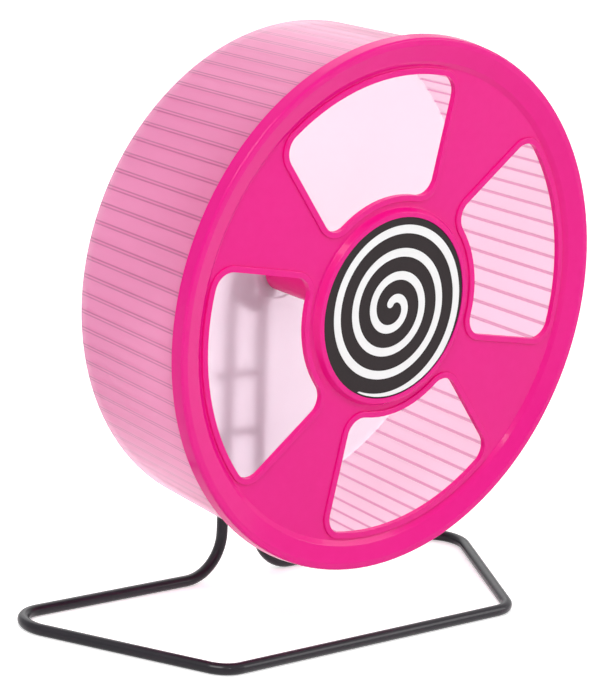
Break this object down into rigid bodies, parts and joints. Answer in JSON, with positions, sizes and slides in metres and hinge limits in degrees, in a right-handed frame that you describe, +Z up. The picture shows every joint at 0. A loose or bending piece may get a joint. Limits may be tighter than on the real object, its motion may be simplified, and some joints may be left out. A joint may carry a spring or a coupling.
{
  "type": "rodent exercise wheel",
  "caption": "Free-standing running wheel for a small rodent: translucent ribbed drum, opaque windowed cover with a spiral hub disc, ball bearings, bent wire stand.",
  "frame": {"origin": "bottom centre of the bounding box, on the floor below the wheel", "axes": "+Z up, wheel axis along Y with the windowed front towards -Y, +X to the right seen from the front"},
  "size_m": [0.2236, 0.0955, 0.2283],
  "materials": {
    "wire_coating": "gloss",
    "cover_plastic": "gloss",
    "drum_plastic": "gloss",
    "disc_plastic": "matte",
    "spiral_print": "matte",
    "fastener_steel": "satin",
    "bearing_steel": "gloss",
    "cage_brass": "satin"
  },
  "bodies": {
    "stand": {"stand_wire": "wire_coating", "cross_bar_upper": "wire_coating", "cross_bar_lower": "wire_coating", "axle_plate": "wire_coating", "axle_bolt": "fastener_steel", "plate_washer": "fastener_steel", "plate_nut": "fastener_steel", "rear_spacer": "fastener_steel", "bearing_rear_inner": "bearing_steel", "inner_spacer": "fastener_steel", "bearing_front_inner": "bearing_steel", "front_washer": "fastener_steel", "front_nut": "fastener_steel"},
    "wheel": {"running_drum": "drum_plastic", "front_cover": "cover_plastic", "hub_sleeve": "cover_plastic", "sleeve_screws": "fastener_steel", "bearing_rear_outer": "bearing_steel", "bearing_front_outer": "bearing_steel", "hub_disc": "disc_plastic", "spiral_inlay": "spiral_print"},
    "rear_ball_set": {"bearing_rear_balls": "bearing_steel", "bearing_rear_cage": "cage_brass"},
    "front_ball_set": {"bearing_front_balls": "bearing_steel", "bearing_front_cage": "cage_brass"}
  },
  "joints": [
    {"name": "wheel_spin", "type": "hinge", "parent": "stand", "child": "wheel", "pos_m": [0, -0.00775, 0.1277], "axis": [0, 1, 0], "continuous": true},
    {"name": "rear_ball_spin", "type": "hinge", "parent": "stand", "child": "rear_ball_set", "pos_m": [0, 0.02855, 0.1277], "axis": [0, 1, 0], "continuous": true},
    {"name": "front_ball_spin", "type": "hinge", "parent": "stand", "child": "front_ball_set", "pos_m": [0, -0.02205, 0.1277], "axis": [0, 1, 0], "continuous": true}
  ],
  "couplings": [
    {"joint": "rear_ball_spin", "follows": "wheel_spin", "ratio": 0.6036},
    {"joint": "front_ball_spin", "follows": "wheel_spin", "ratio": 0.6036}
  ]
}
